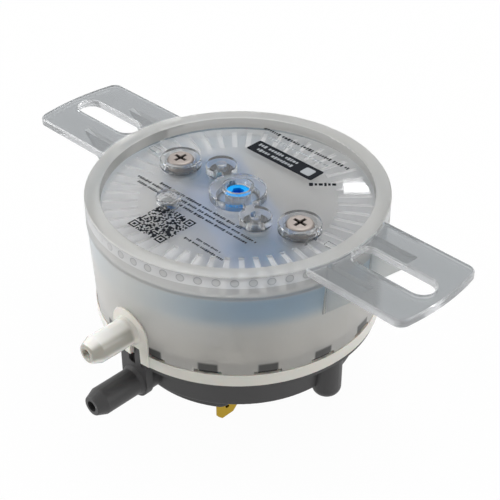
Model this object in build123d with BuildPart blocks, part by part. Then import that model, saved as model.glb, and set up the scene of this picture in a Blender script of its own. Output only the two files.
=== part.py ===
"""Differential pressure switch with two hose ports, slotted ears and a screw-set range spring.

Millimetres, +Z up. The origin is the centre of the rim's top face, which is flush with the ears' top.
+X runs along the ears and -Y is the way that both hose ports point.
"""
import math
import os

from build123d import *

# Rim, recessed top and collar of the upper housing
rim_radius = 36.0
rim_land = 3.7
rim_edge = 0.4
recess_depth = 2.8
plate_thickness = 2.0
collar_depth = 6.35
collar_land = 4.0
collar_step = 0.12

# Drafted wall and foot of the upper housing
wall_draft = 0.93
wall_thickness = 2.0
wall_height = 28.3
ring_height = 3.1
ring_step = 0.2
foot_height = 5.7

# Radial stiffening ribs under the top
rib_count = 48
rib_start_angle = 1.95
rib_inner_radius = 23.6
rib_width = 1.3
rib_shortfall = 0.1

# Ears with their slots and gussets
ear_width = 26.0
ear_tip_radius = 60.8
ear_corner = 2.6
ear_thickness = 2.1
ear_edge = 0.35
slot_spacing = 94.0
slot_length = 21.2
slot_width = 6.2
gusset_offset = 7.4
gusset_thickness = 1.5
gusset_reach = 47.1

# Raised features on the recessed top
boss_rise = 2.1
boss_edge = 0.25
tower_radius = 6.9
tower_tube_radius = 3.8
tower_hub_radius = 5.2
well_radius = 5.1
well_bore_radius = 3.9
well_column_radius = 3.9
side_boss_radius = 3.9
side_boss_bore = 1.3
side_boss_depth = 5.0
side_boss_distance = 11.8
side_boss_angle = -25.0
side_column_radius = 3.0
arm_width = 2.4
stub_radius = 3.0
stub_core_radius = 2.1
stub_skin = 1.0
stub_distance = 16.5
stub_angle = -124.4
nib_distance = 29.4
nib_length = 3.0
nib_width = 1.5
nib_height = 0.4

# Hose ports and the root plates that key the two housings together
port_radius = 3.45
port_bore_radius = 1.4
port_tip_y = -47.8
port_nose_length = 2.6
port_tip_radius = 2.4
port_tip_edge = 0.7
port_nose_edge = 0.3
port_spacing = 15.7
upper_port_z = -23.0
port_flare = 0.5
port_flare_length = 1.0
arch_radius = 5.8
arch_proud = 0.4
arch_edge = 0.25
key_width = 1.9
key_reach = 1.05
key_drop = 2.85
tongue_width = 6.2
tongue_thickness = 1.35
tongue_gap = 0.15
tongue_slot_gap = 0.1
tongue_slot_depth = 6.1
tongue_back_gap = 0.1
port_plate_radius = 4.4
port_plate_depth = 1.9
port_web_width = 6.0

# Snap hooks, their pockets and their windows
hook_count = 16
hook_width = 4.3
hook_thickness = 1.3
hook_cover = 1.85
hook_rise = 5.1
hook_nose = 1.3
hook_gap = 0.15
hook_catch_gap = 0.05
window_width = 6.4
window_height = 0.9
window_lip = 0.1

# Lower housing
flange_step = 0.25
flange_thickness = 1.4
bowl_inset = 4.3
bowl_draft = 0.4
bowl_wall = 2.2
bowl_depth = 10.6
bowl_edge = 0.5
floor_thickness = 1.8
post_radius = 3.6
post_depth = 14.1
post_edge = 2.4
plinth_inset = 2.8
plinth_half_width = 16.6
plinth_back_y = 21.0
plinth_corner = 2.6
plinth_wall = 1.8
plinth_depth = 3.8

# Spring carrier and its two screws
carrier_drop = 3.7
carrier_reach = 26.0
carrier_half_width = 9.0
carrier_corner = 4.0
carrier_lobe_radius = 4.7
carrier_height = 12.5
carrier_skin = 2.2
carrier_skirt = 1.8
carrier_hub_radius = 8.4
carrier_hub_height = 8.3
carrier_rib_spacing = 12.5
carrier_rib_width = 1.6
carrier_rib_height = 5.5
carrier_boss_radius = 3.4
carrier_boss_height = 8.0
vent_width = 7.0
vent_height = 4.0
carrier_screw_distance = 19.9
screw_head_radius = 3.3
screw_head_height = 2.0
screw_head_edge = 0.7
screw_shank_radius = 1.7
screw_shank_length = 14.0
screw_recess_width = 0.85
screw_recess_span = 3.7
screw_recess_depth = 1.2
screw_recess_taper = 8.0
screw_hole_gap = 0.15
thread_gap = 0.05

# Calibration screw, seal, nut and range spring
cal_head_radius = 3.05
cal_head_drop = 1.5
cal_bore_gap = 0.1
cal_shoulder_radius = 4.6
cal_shoulder_height = 1.4
cal_end_gap = 0.1
cal_stem_radius = 1.95
cal_stem_length = 8.5
cal_socket = 2.6
cal_socket_depth = 3.2
cal_edge = 0.3
seal_section = 1.0
seal_gap = 0.03
seal_depth = 4.2
nut_flats = 10.8
nut_gap = 0.1
nut_height = 2.6
nut_spigot_height = 1.8
nut_drop = 1.9
spring_wire = 0.8
spring_mean_radius = 4.3
spring_turns = 5
spring_gap = 0.1
spring_seat_gap = 0.02

# Diaphragm and the stack on its centre
sheet_thickness = 0.7
groove_wall = 0.95
bead_width = 1.8
bead_land = 0.95
bead_height = 1.1
bead_gap = 0.05
roll_gap = 0.35
roll_width = 3.0
plate_gap = 0.4
backing_thickness = 1.0
plate_lip = 0.9
plate_lip_width = 1.0
plate_rib_count = 8
plate_rib_width = 1.2
seat_wall = 0.8
seat_height = 1.2
seat_gap = 0.2
pusher_radius = 12.0
pusher_thickness = 1.0
pusher_pin_radius = 1.6
pusher_pin_length = 4.2
stem_radius = 2.0
stem_gap = 0.05
stem_stand = 0.4
retainer_radius = 3.2
retainer_thickness = 0.5

# Snap switch
switch_length = 20.0
switch_width = 11.0
switch_height = 5.35
switch_corner = 0.8
switch_wall = 1.2
switch_floor = 1.0
cover_thickness = 1.0
cover_edge = 0.3
lug_radius = 2.2
lug_thickness = 2.0
lug_x = 12.2
lug_y = 4.6
small_screw_radius = 0.95
small_screw_length = 3.2
small_head_radius = 1.8
small_head_height = 1.2
small_slot_width = 0.5
small_slot_depth = 0.5
small_hole_gap = 0.1
small_hole_spare = 0.1
plunger_radius = 1.2
plunger_gap = 0.06
plunger_touch = 0.05
plunger_collar_radius = 1.9
plunger_collar_height = 0.4
plunger_collar_drop = 0.5
blade_thickness = 0.25
blade_width = 3.6
blade_overhang = 1.0
blade_window_length = 8.0
blade_window_width = 0.6
blade_window_offset = 1.1
blade_plunger_gap = 0.1
blade_support_gap = 0.05
pivot_x = -7.6
contact_x = 7.4
contact_radius = 1.0
contact_height = 0.4
contact_lower_height = 1.4
contact_shank_radius = 0.6
contact_shank_gap = 0.03
contact_lift = 0.68
contact_gap = 0.08

# Terminals
tab_width = 6.35
tab_thickness = 0.8
tab_reach = 8.0
tab_corner = 1.3
tab_hole_radius = 0.85
tab_hole_inset = 3.2
tab_slot_gap = 0.05
tab_side_x = 12.3
tab_inset = 10.75
tab_back_y = 15.5
strap_width = 2.0
strap_gap = 0.15
strap_row_y = 9.0

# Levels down the axis
plate_under_z = -(recess_depth + plate_thickness)
boss_top_z = boss_rise - recess_depth
ring_top_z = -wall_height
parting_z = ring_top_z - ring_height
foot_top_z = parting_z + foot_height
carrier_top_z = plate_under_z - carrier_drop
carrier_under_z = carrier_top_z - carrier_skin
lower_port_z = upper_port_z - port_spacing
flange_foot_z = parting_z - flange_thickness
bowl_foot_z = parting_z - bowl_depth
bowl_floor_z = bowl_foot_z + floor_thickness
plinth_foot_z = bowl_foot_z - plinth_depth
floor_z = plinth_foot_z + floor_thickness
key_foot_z = upper_port_z - port_radius - key_drop
tongue_top_z = upper_port_z - port_radius - port_flare - 2 * tongue_gap
sheet_under_z = parting_z - sheet_thickness

# Radii that follow from walls and lands
rim_inner_radius = rim_radius - rim_land
collar_inner_radius = rim_radius - collar_land
wall_top_radius = rim_radius - collar_step
wall_foot_radius = wall_top_radius - wall_draft
wall_inner_top = wall_top_radius - wall_thickness
wall_inner_foot = wall_foot_radius - wall_thickness
wall_middle_foot = wall_foot_radius - wall_thickness / 2
ring_radius = wall_foot_radius + ring_step
hook_outer_radius = wall_foot_radius - hook_cover
hook_inner_radius = hook_outer_radius - hook_thickness
hook_middle_radius = hook_outer_radius - hook_thickness / 2
pocket_inner_radius = hook_inner_radius - hook_gap
pocket_outer_radius = hook_outer_radius + hook_gap
bead_outer_radius = pocket_inner_radius - groove_wall
bead_inner_radius = bead_outer_radius - bead_width
foot_inner_radius = bead_inner_radius - bead_land
roll_outer_radius = foot_inner_radius - roll_gap
plate_radius = roll_outer_radius - roll_width - plate_gap
flange_radius = wall_foot_radius - flange_step
bowl_top_radius = flange_radius - bowl_inset
bowl_foot_radius = bowl_top_radius - bowl_draft
bowl_inner_radius = bowl_top_radius - bowl_wall
bowl_middle_radius = bowl_foot_radius - bowl_wall / 2
post_distance = bowl_foot_radius
plinth_radius = bowl_foot_radius - plinth_inset
tab_side_y = tab_inset - plinth_radius
arch_front_radius = wall_foot_radius + arch_proud
tongue_back_radius = ring_radius - tongue_thickness

# Levels of the screws, the calibration parts and the diaphragm stack
shank_foot_z = -recess_depth - screw_shank_length
shoulder_top_z = carrier_top_z - cal_end_gap
shoulder_foot_z = shoulder_top_z - cal_shoulder_height
stem_foot_z = shoulder_foot_z - cal_stem_length
nut_top_z = carrier_under_z - nut_drop
nut_foot_z = nut_top_z - nut_height
backing_top_z = parting_z + backing_thickness
pusher_foot_z = sheet_under_z - pusher_thickness
pin_foot_z = pusher_foot_z - pusher_pin_length

# Levels inside the snap switch, from the fixed contact up
strap_top_z = floor_z + tab_thickness
cavity_floor_z = floor_z + switch_floor
contact_lower_top = strap_top_z + contact_lower_height
moving_foot_z = contact_lower_top + contact_gap
blade_foot_z = moving_foot_z + contact_height
blade_top_z = blade_foot_z + blade_thickness
moving_top_z = blade_top_z + contact_height
contact_upper_foot = moving_top_z + contact_lift + contact_gap
upper_strap_foot = contact_upper_foot + contact_height
switch_top_z = floor_z + switch_height
lug_top_z = floor_z + lug_thickness


def on_circle(distance, angle):
    """Point at a distance and angle from the axis."""
    turn = math.radians(angle)
    return (distance * math.cos(turn), distance * math.sin(turn))


def finish(part, name):
    """Label a finished piece and write its STEP file."""
    part.label = name
    export_step(part, f"parts/{name}.step")


def plinth_outline(level, inset):
    """Plinth's rounded outline at a level, drawn in by an inset."""
    with BuildSketch(Plane.XY.offset(level)) as outline:
        Circle(plinth_radius - inset)
        with Locations((0, (plinth_back_y - plinth_radius) / 2)):
            width = 2 * (plinth_half_width - inset)
            Rectangle(width, plinth_back_y + plinth_radius - 2 * inset, mode=Mode.INTERSECT)
        fillet(outline.vertices(), radius=plinth_corner - inset)
    return outline.sketch


def carrier_outline(level, inset):
    """Spring carrier's bar with a lobe round each screw, at a level, drawn in by an inset."""
    with BuildSketch(Plane.XY.offset(level)) as outline:
        Circle(carrier_reach - inset)
        with Locations(Location((0, 0, 0), (0, 0, side_boss_angle))):
            Rectangle(2 * carrier_reach, 2 * (carrier_half_width - inset), mode=Mode.INTERSECT)
        fillet(outline.vertices(), radius=carrier_corner - inset)
        with Locations(*carrier_screw_places):
            Circle(carrier_lobe_radius - inset)
    return outline.sketch


def arch_plate():
    """Arched plate round the upper port, curved and drafted like the wall that it stands on."""
    with BuildPart() as plate:
        with BuildSketch(Plane.XZ.offset(wall_middle_foot)):
            with Locations((0, upper_port_z)):
                Circle(arch_radius)
            with Locations((0, (upper_port_z + parting_z) / 2)):
                Rectangle(2 * arch_radius, upper_port_z - parting_z)
        extrude(amount=2 * wall_thickness)
        with BuildSketch(Plane.XZ):
            with BuildLine():
                Polyline(
                    (wall_inner_foot, parting_z),
                    (arch_front_radius, parting_z),
                    (wall_top_radius + arch_proud, -collar_depth),
                    (wall_inner_foot, -collar_depth),
                    close=True,
                )
            make_face()
        revolve(axis=Axis.Z, mode=Mode.INTERSECT)
        front_edges = plate.faces().sort_by(Axis.Y)[0].edges()
        fillet(front_edges.sort_by(Axis.Z)[1:], radius=arch_edge)
    return plate.part


def port_tube(axis_z, face_radius, root_radius, tip_edge):
    """Hose port's tube with a drawn-in nose, flared where it meets the plate at its root."""
    with BuildPart() as tube:
        with BuildSketch(Plane.YZ) as profile:
            with BuildLine():
                Polyline(
                    (port_tip_y, axis_z),
                    (port_tip_y, axis_z + port_tip_radius),
                    (port_tip_y + port_nose_length, axis_z + port_radius),
                    (-face_radius - port_flare_length, axis_z + port_radius),
                    (-face_radius, axis_z + port_radius + port_flare),
                    (-root_radius, axis_z + port_radius + port_flare),
                    (-root_radius, axis_z),
                    close=True,
                )
            make_face()
            nose_corners = profile.vertices().filter_by(lambda corner: corner.Y > axis_z).sort_by(Axis.X)
            fillet(nose_corners[:2], radius=tip_edge)
        revolve(axis=Axis((0, 0, axis_z), (0, 1, 0)))
    return tube.part


os.makedirs("parts", exist_ok=True)

side_boss_places = [on_circle(side_boss_distance, side_boss_angle + turn) for turn in (0, 180)]
stub_place = on_circle(stub_distance, stub_angle)
carrier_screw_places = [(-carrier_screw_distance, 0), (carrier_screw_distance, 0)]
lug_places = [(-lug_x, lug_y), (lug_x, lug_y)]
hook_start = 180 / hook_count

# Upper housing: one clear moulding with ears, bosses, ribs, wall, foot, port and snap windows
with BuildPart() as upper_housing:
    # Slotted ears, bevelled all round
    with BuildSketch(Plane.XY) as ear_outline:
        Circle(ear_tip_radius)
        Rectangle(2 * ear_tip_radius, ear_width, mode=Mode.INTERSECT)
        fillet(ear_outline.vertices(), radius=ear_corner)
        Circle(rim_inner_radius + rim_land / 2, mode=Mode.SUBTRACT)
        with GridLocations(slot_spacing, 0, 2, 1):
            SlotOverall(slot_length, slot_width, mode=Mode.SUBTRACT)
    extrude(amount=-ear_thickness)
    level_edges = upper_housing.edges().filter_by(Plane.XY)
    ear_edges = level_edges.filter_by(lambda edge: math.hypot((edge @ 0.5).X, (edge @ 0.5).Y) > rim_radius)
    chamfer(ear_edges, length=ear_edge)

    # Gussets that run from the wall out along the underside of each ear
    gusset_root = math.sqrt(wall_inner_top**2 - gusset_offset**2) + wall_thickness / 2
    gusset_foot_z = -ear_thickness - (gusset_reach - gusset_root)
    for side in (-1, 1):
        for offset_y in (-gusset_offset, gusset_offset):
            with BuildSketch(Plane.XZ.offset(offset_y)):
                with BuildLine():
                    Polyline(
                        (side * gusset_root, -ear_thickness / 2),
                        (side * gusset_reach, -ear_thickness / 2),
                        (side * gusset_reach, -ear_thickness),
                        (side * gusset_root, gusset_foot_z),
                        close=True,
                    )
                make_face()
            extrude(amount=gusset_thickness / 2, both=True)

    # Recessed top, rim, collar, drafted wall and thick foot, turned in one profile
    with BuildSketch(Plane.XZ) as shell_profile:
        with BuildLine():
            Polyline(
                (0, -recess_depth),
                (rim_inner_radius, -recess_depth),
                (rim_inner_radius, 0),
                (rim_radius, 0),
                (rim_radius, -collar_depth),
                (wall_top_radius, -collar_depth),
                (wall_foot_radius, ring_top_z),
                (ring_radius, ring_top_z),
                (ring_radius, parting_z),
                (bead_outer_radius + bead_gap, parting_z),
                (bead_outer_radius + bead_gap, parting_z + bead_height + bead_gap),
                (bead_inner_radius - bead_gap, parting_z + bead_height + bead_gap),
                (bead_inner_radius - bead_gap, parting_z),
                (foot_inner_radius, parting_z),
                (foot_inner_radius, foot_top_z),
                (wall_inner_foot, foot_top_z),
                (wall_inner_top, -collar_depth),
                (collar_inner_radius, -collar_depth),
                (collar_inner_radius, plate_under_z),
                (0, plate_under_z),
                close=True,
            )
        make_face()
        fillet(shell_profile.vertices().group_by(Axis.Y)[-1], radius=rim_edge)
    revolve(axis=Axis.Z)

    # Stiffening ribs that hang from the top, from beyond the carrier to the collar
    rib_length = collar_inner_radius + rib_width - rib_inner_radius
    with BuildSketch(Plane.XY.offset(plate_under_z)):
        with PolarLocations(rib_inner_radius + rib_length / 2, rib_count, start_angle=rib_start_angle):
            Rectangle(rib_length, rib_width)
    extrude(amount=-(collar_depth - rib_shortfall + plate_under_z))

    # Columns that reach down to the spring carrier
    with BuildSketch(Plane.XY.offset(carrier_top_z)):
        Circle(tower_hub_radius)
        with Locations(*carrier_screw_places):
            Circle(well_column_radius)
        with Locations(*side_boss_places):
            Circle(side_column_radius)
    extrude(amount=carrier_drop)

    # Raised bosses, with arms that tie the side bosses to the tower
    with BuildSketch(Plane.XY.offset(-recess_depth)):
        Circle(tower_radius)
        with Locations(*carrier_screw_places):
            Circle(well_radius)
        with Locations(*side_boss_places):
            Circle(side_boss_radius)
        with Locations(stub_place):
            Circle(stub_radius)
        with Locations(Location((0, 0, 0), (0, 0, side_boss_angle))):
            Rectangle(2 * side_boss_distance, arm_width)
    extrude(amount=boss_rise)
    boss_edges = upper_housing.edges().filter_by(
        lambda edge: abs((edge @ 0).Z - boss_top_z) + abs((edge @ 0.5).Z - boss_top_z) < boss_edge / 10
    )
    chamfer(boss_edges, length=boss_edge)
    with BuildSketch(Plane.XY.offset(-recess_depth)):
        Circle(tower_tube_radius)
    extrude(amount=recess_depth)
    with BuildSketch(Plane.XY.offset(-recess_depth)):
        with Locations((-nib_distance, 0), (nib_distance, 0)):
            Rectangle(nib_length, nib_width)
    extrude(amount=nib_height)

    # Bores: tower, screw wells, side bosses, and the stub boss cored from below
    with BuildSketch(Plane.XY):
        Circle(cal_head_radius + cal_bore_gap)
        with Locations(*carrier_screw_places):
            Circle(screw_shank_radius + screw_hole_gap)
    extrude(amount=carrier_top_z, mode=Mode.SUBTRACT)
    with BuildSketch(Plane.XY.offset(-recess_depth)):
        with Locations(*carrier_screw_places):
            Circle(well_bore_radius)
    extrude(amount=recess_depth, mode=Mode.SUBTRACT)
    with BuildSketch(Plane.XY.offset(boss_top_z)):
        with Locations(*side_boss_places):
            Circle(side_boss_bore)
    extrude(amount=-side_boss_depth, mode=Mode.SUBTRACT)
    with BuildSketch(Plane.XY.offset(plate_under_z)):
        with Locations(stub_place):
            Circle(stub_core_radius)
    extrude(amount=boss_top_z - stub_skin - plate_under_z, mode=Mode.SUBTRACT)

    # Pockets in the foot for the snap hooks, and the windows that their noses catch in
    pocket_middle = (pocket_inner_radius + pocket_outer_radius) / 2
    with BuildSketch(Plane.XY.offset(parting_z)):
        with PolarLocations(pocket_middle, hook_count, start_angle=hook_start):
            Rectangle(pocket_outer_radius - pocket_inner_radius, hook_width + 2 * hook_gap)
    extrude(amount=hook_rise + hook_gap, mode=Mode.SUBTRACT)
    with BuildSketch(Plane.XY.offset(ring_top_z)):
        with PolarLocations(hook_outer_radius + wall_thickness, hook_count, start_angle=hook_start):
            Rectangle(2 * wall_thickness, window_width)
        Circle(hook_outer_radius, mode=Mode.SUBTRACT)
    extrude(amount=window_height, mode=Mode.SUBTRACT)

    # Arched root plate of the upper port, open at its foot for the tongue, with a key under the tube
    add(arch_plate())
    with BuildSketch(Plane.XZ.offset(tongue_back_radius)):
        with Locations((0, (tongue_top_z + tongue_gap + parting_z) / 2)):
            Rectangle(tongue_width + 2 * tongue_gap, tongue_top_z + tongue_gap - parting_z)
    extrude(amount=2 * tongue_thickness, mode=Mode.SUBTRACT)
    with BuildSketch(Plane.XZ.offset(tongue_back_radius - tongue_gap)):
        with Locations((0, (upper_port_z + key_foot_z) / 2)):
            Rectangle(key_width, upper_port_z - key_foot_z)
    extrude(amount=tongue_thickness + tongue_gap + key_reach)

    # Upper port, bored into the upper chamber
    add(port_tube(upper_port_z, arch_front_radius, wall_middle_foot, port_tip_edge))
    with BuildSketch(Plane.XZ.offset(-port_tip_y)):
        with Locations((0, upper_port_z)):
            Circle(port_bore_radius)
    extrude(amount=port_tip_y + wall_inner_foot - wall_thickness, mode=Mode.SUBTRACT)
finish(upper_housing.part, "upper_housing")

# Lower housing: one charcoal moulding with flange, bowl, hooks, port, posts and plinth
with BuildPart() as lower_housing:
    # Solid form of flange and bowl
    with BuildSketch(Plane.XZ):
        with BuildLine():
            Polyline(
                (0, parting_z),
                (flange_radius, parting_z),
                (flange_radius, flange_foot_z),
                (bowl_top_radius, flange_foot_z),
                (bowl_foot_radius, bowl_foot_z),
                (0, bowl_foot_z),
                close=True,
            )
        make_face()
    revolve(axis=Axis.Z)
    foot_edges = lower_housing.edges().group_by(Axis.Z)[0]
    fillet(foot_edges, radius=bowl_edge)

    # Round posts with rounded feet
    post_foot_z = parting_z - post_depth
    for side in (-1, 1):
        with BuildSketch(Plane.XZ) as post_profile:
            with BuildLine():
                Polyline(
                    (side * post_distance, flange_foot_z + flange_thickness / 2),
                    (side * post_distance + post_radius, flange_foot_z + flange_thickness / 2),
                    (side * post_distance + post_radius, post_foot_z),
                    (side * post_distance, post_foot_z),
                    close=True,
                )
            make_face()
            outer_foot = post_profile.vertices().group_by(Axis.Y)[0].sort_by(Axis.X)[-1]
            fillet(outer_foot, radius=post_edge)
        revolve(axis=Axis((side * post_distance, 0, 0), (0, 0, 1)))

    # Root plate of the lower port, rounded under the tube, and its web back to the bowl
    with BuildSketch(Plane.XZ.offset(flange_radius)):
        with Locations((0, lower_port_z)):
            Circle(port_plate_radius)
        with Locations((0, (parting_z + lower_port_z) / 2)):
            Rectangle(2 * port_plate_radius, parting_z - lower_port_z)
    extrude(amount=-port_plate_depth)
    web_front_radius = flange_radius - port_plate_depth / 2
    with BuildSketch(Plane.XZ.offset(web_front_radius)):
        with Locations((0, (flange_foot_z + lower_port_z) / 2)):
            Rectangle(port_web_width, flange_foot_z - lower_port_z)
    extrude(amount=bowl_middle_radius - web_front_radius)

    # Tongue that stands in the ring, slotted for the key
    tongue_plane = Plane.XZ.offset(tongue_back_radius + tongue_back_gap)
    with BuildSketch(tongue_plane):
        with Locations((0, (tongue_top_z + flange_foot_z) / 2)):
            Rectangle(tongue_width, tongue_top_z - flange_foot_z)
    extrude(amount=tongue_thickness - 2 * tongue_back_gap)
    with BuildSketch(tongue_plane):
        with Locations((0, tongue_top_z - tongue_slot_depth / 2)):
            Rectangle(key_width + 2 * tongue_slot_gap, tongue_slot_depth)
    extrude(amount=tongue_thickness, mode=Mode.SUBTRACT)

    # Lower port, bored into the bowl
    add(port_tube(lower_port_z, flange_radius, bowl_middle_radius, port_nose_edge))
    with BuildSketch(Plane.XZ.offset(-port_tip_y)):
        with Locations((0, lower_port_z)):
            Circle(port_bore_radius)
    extrude(amount=port_tip_y + bowl_inner_radius - bowl_wall, mode=Mode.SUBTRACT)

    # Snap hooks with outward noses
    nose_foot_z = ring_top_z + hook_catch_gap
    nose_top_z = ring_top_z + window_height - window_lip
    with BuildSketch(Plane.XY.offset(parting_z)):
        with PolarLocations(hook_middle_radius, hook_count, start_angle=hook_start):
            Rectangle(hook_thickness, hook_width)
    extrude(amount=hook_rise)
    with BuildSketch(Plane.XY.offset(nose_foot_z)):
        with PolarLocations(hook_outer_radius, hook_count, start_angle=hook_start):
            Rectangle(2 * hook_nose, hook_width)
    extrude(amount=nose_top_z - nose_foot_z)

    # Plinth that the snap switch stands in
    extrude(plinth_outline(bowl_foot_z, 0), amount=-plinth_depth)
    plinth_base = lower_housing.faces().filter_by(
        lambda face: abs(face.center().Z - plinth_foot_z) < bowl_edge / 10
    )
    fillet(plinth_base.edges(), radius=bowl_edge)
    extrude(plinth_outline(floor_z, plinth_wall), amount=bowl_floor_z - floor_z, mode=Mode.SUBTRACT)

    # Inside of the bowl, with the seat that holds the diaphragm's edge
    with BuildSketch(Plane.XZ):
        with BuildLine():
            Polyline(
                (0, bowl_floor_z),
                (bowl_inner_radius, bowl_floor_z),
                (bowl_inner_radius, sheet_under_z),
                (bead_outer_radius + bead_gap, sheet_under_z),
                (bead_outer_radius + bead_gap, parting_z),
                (0, parting_z),
                close=True,
            )
        make_face()
    revolve(axis=Axis.Z, mode=Mode.SUBTRACT)

    # Slots for the three blade terminals and holes for the switch screws
    with BuildSketch(Plane.XY.offset(floor_z)):
        with Locations((-tab_side_x, tab_side_y), (tab_side_x, tab_side_y)):
            Rectangle(tab_thickness + 2 * tab_slot_gap, tab_width + 2 * tab_slot_gap)
        with Locations((0, tab_back_y)):
            Rectangle(tab_width + 2 * tab_slot_gap, tab_thickness + 2 * tab_slot_gap)
    extrude(amount=-floor_thickness, mode=Mode.SUBTRACT)
    with BuildSketch(Plane.XY.offset(floor_z)):
        with Locations(*lug_places):
            Circle(small_screw_radius + thread_gap)
    extrude(amount=-(small_screw_length - lug_thickness + small_hole_spare), mode=Mode.SUBTRACT)
finish(lower_housing.part, "lower_housing")

# Spring carrier: blue bar with a hexagonal hub, ribs, screw bosses and a vented skirt
with BuildPart() as spring_carrier:
    extrude(carrier_outline(carrier_top_z, 0), amount=-carrier_height)
    extrude(
        carrier_outline(carrier_under_z, carrier_skirt),
        amount=carrier_skin - carrier_height,
        mode=Mode.SUBTRACT,
    )
    skirt_foot_z = carrier_top_z - carrier_height
    carrier_turn = Location((0, 0, 0), (0, 0, side_boss_angle))
    with BuildSketch(Plane.XY.offset(skirt_foot_z)):
        with Locations(carrier_turn):
            Rectangle(vent_width, 2 * carrier_reach)
            Rectangle(2 * carrier_reach, vent_width)
    extrude(amount=vent_height, mode=Mode.SUBTRACT)
    with BuildSketch(Plane.XY.offset(carrier_under_z)):
        Circle(carrier_hub_radius)
    extrude(amount=-carrier_hub_height)
    with BuildSketch(Plane.XY.offset(carrier_under_z)):
        with Locations(carrier_turn):
            Rectangle(2 * carrier_reach - carrier_skirt, carrier_rib_width)
            with GridLocations(carrier_rib_spacing, 0, 3, 1):
                Rectangle(carrier_rib_width, 2 * carrier_half_width - carrier_skirt)
    extrude(amount=-carrier_rib_height)
    with BuildSketch(Plane.XY.offset(carrier_under_z)):
        with Locations(*carrier_screw_places):
            Circle(carrier_boss_radius)
    extrude(amount=-carrier_boss_height)
    with BuildSketch(Plane.XY.offset(carrier_top_z)):
        with Locations(*carrier_screw_places):
            Circle(screw_shank_radius + thread_gap)
    extrude(amount=shank_foot_z - screw_hole_gap - carrier_top_z, mode=Mode.SUBTRACT)
    with BuildSketch(Plane.XY.offset(carrier_top_z)):
        Circle(cal_shoulder_radius + cal_bore_gap)
    extrude(amount=shoulder_foot_z - cal_end_gap - carrier_top_z, mode=Mode.SUBTRACT)
    with BuildSketch(Plane.XY.offset(carrier_top_z)):
        Circle(cal_stem_radius + cal_bore_gap)
    extrude(amount=-carrier_skin, mode=Mode.SUBTRACT)
    with BuildSketch(Plane.XY.offset(carrier_under_z)):
        RegularPolygon(nut_flats / 2 + nut_gap, 6, major_radius=False)
    extrude(amount=-carrier_hub_height, mode=Mode.SUBTRACT)
finish(spring_carrier.part, "spring_carrier")

# Pan-head screws with crossed recesses that hold the carrier under the top
for name, place in zip(("carrier_screw_left", "carrier_screw_right"), carrier_screw_places):
    with BuildPart() as carrier_screw:
        head_top_z = screw_head_height - recess_depth
        with BuildSketch(Plane.XY.offset(-recess_depth)):
            with Locations(place):
                Circle(screw_head_radius)
        extrude(amount=screw_head_height)
        fillet(carrier_screw.edges().group_by(Axis.Z)[-1], radius=screw_head_edge)
        with BuildSketch(Plane.XY.offset(-recess_depth)):
            with Locations(place):
                Circle(screw_shank_radius)
        extrude(amount=-screw_shank_length)
        chamfer(carrier_screw.edges().group_by(Axis.Z)[0], length=cal_edge)
        with BuildSketch(Plane.XY.offset(head_top_z)):
            with Locations(place):
                Rectangle(screw_recess_span, screw_recess_width)
                Rectangle(screw_recess_width, screw_recess_span)
        extrude(amount=-screw_recess_depth, taper=screw_recess_taper, mode=Mode.SUBTRACT)
    finish(carrier_screw.part, name)

# Calibration screw: socket head in the tower, groove for the seal, shoulder under the hub and long stem
with BuildPart() as calibration_screw:
    seal_z = -cal_head_drop - seal_depth
    seal_radius = cal_head_radius + cal_bore_gap - seal_gap - seal_section / 2
    groove_radius = seal_radius - seal_section / 2 - seal_gap
    groove_half = seal_section / 2 + seal_gap
    with BuildSketch(Plane.XZ) as screw_profile:
        with BuildLine():
            Polyline(
                (0, -cal_head_drop),
                (cal_head_radius, -cal_head_drop),
                (cal_head_radius, seal_z + groove_half),
                (groove_radius, seal_z + groove_half),
                (groove_radius, seal_z - groove_half),
                (cal_head_radius, seal_z - groove_half),
                (cal_head_radius, shoulder_top_z),
                (cal_shoulder_radius, shoulder_top_z),
                (cal_shoulder_radius, shoulder_foot_z),
                (cal_stem_radius, shoulder_foot_z),
                (cal_stem_radius, stem_foot_z),
                (0, stem_foot_z),
                close=True,
            )
        make_face()
        rim_corners = screw_profile.vertices().filter_by(lambda corner: corner.X > 0)
        ends = [rim_corners.sort_by(Axis.Y)[0], rim_corners.sort_by(Axis.Y)[-1]]
        chamfer(ends, length=cal_edge)
    revolve(axis=Axis.Z)
    with BuildSketch(Plane.XY.offset(-cal_head_drop)):
        RegularPolygon(cal_socket / 2, 6, major_radius=False)
    extrude(amount=-cal_socket_depth, mode=Mode.SUBTRACT)
finish(calibration_screw.part, "calibration_screw")

# Seal that turns with the calibration screw in the tower's bore
with BuildPart() as calibration_seal:
    with BuildSketch(Plane.XZ):
        with Locations((seal_radius, seal_z)):
            Circle(seal_section / 2)
    revolve(axis=Axis.Z)
finish(calibration_seal.part, "calibration_seal")

# Hexagon nut that the calibration screw drives up and down in the carrier's hub
with BuildPart() as spring_nut:
    with BuildSketch(Plane.XY.offset(nut_top_z)):
        RegularPolygon(nut_flats / 2, 6, major_radius=False)
    extrude(amount=-nut_height)
    with BuildSketch(Plane.XY.offset(nut_foot_z)):
        Circle(spring_mean_radius - spring_wire / 2 - spring_gap)
    extrude(amount=-nut_spigot_height)
    chamfer(spring_nut.edges().group_by(Axis.Z)[0], length=cal_edge)
    with BuildSketch(Plane.XY.offset(nut_top_z)):
        Circle(cal_stem_radius + thread_gap)
    extrude(amount=-nut_height - nut_spigot_height, mode=Mode.SUBTRACT)
finish(spring_nut.part, "spring_nut")

# Range spring between the nut and the seat on the diaphragm plate
with BuildPart() as range_spring:
    spring_foot_z = backing_top_z + spring_wire / 2 + spring_seat_gap
    spring_rise = nut_foot_z - spring_wire / 2 - spring_seat_gap - spring_foot_z
    with BuildLine() as coil:
        Helix(spring_rise / spring_turns, spring_rise, spring_mean_radius, center=(0, 0, spring_foot_z))
    with BuildSketch(Plane(origin=coil.line @ 0, z_dir=coil.line % 0)):
        Circle(spring_wire / 2)
    sweep(path=coil.line)
finish(range_spring.part, "range_spring")

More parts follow.
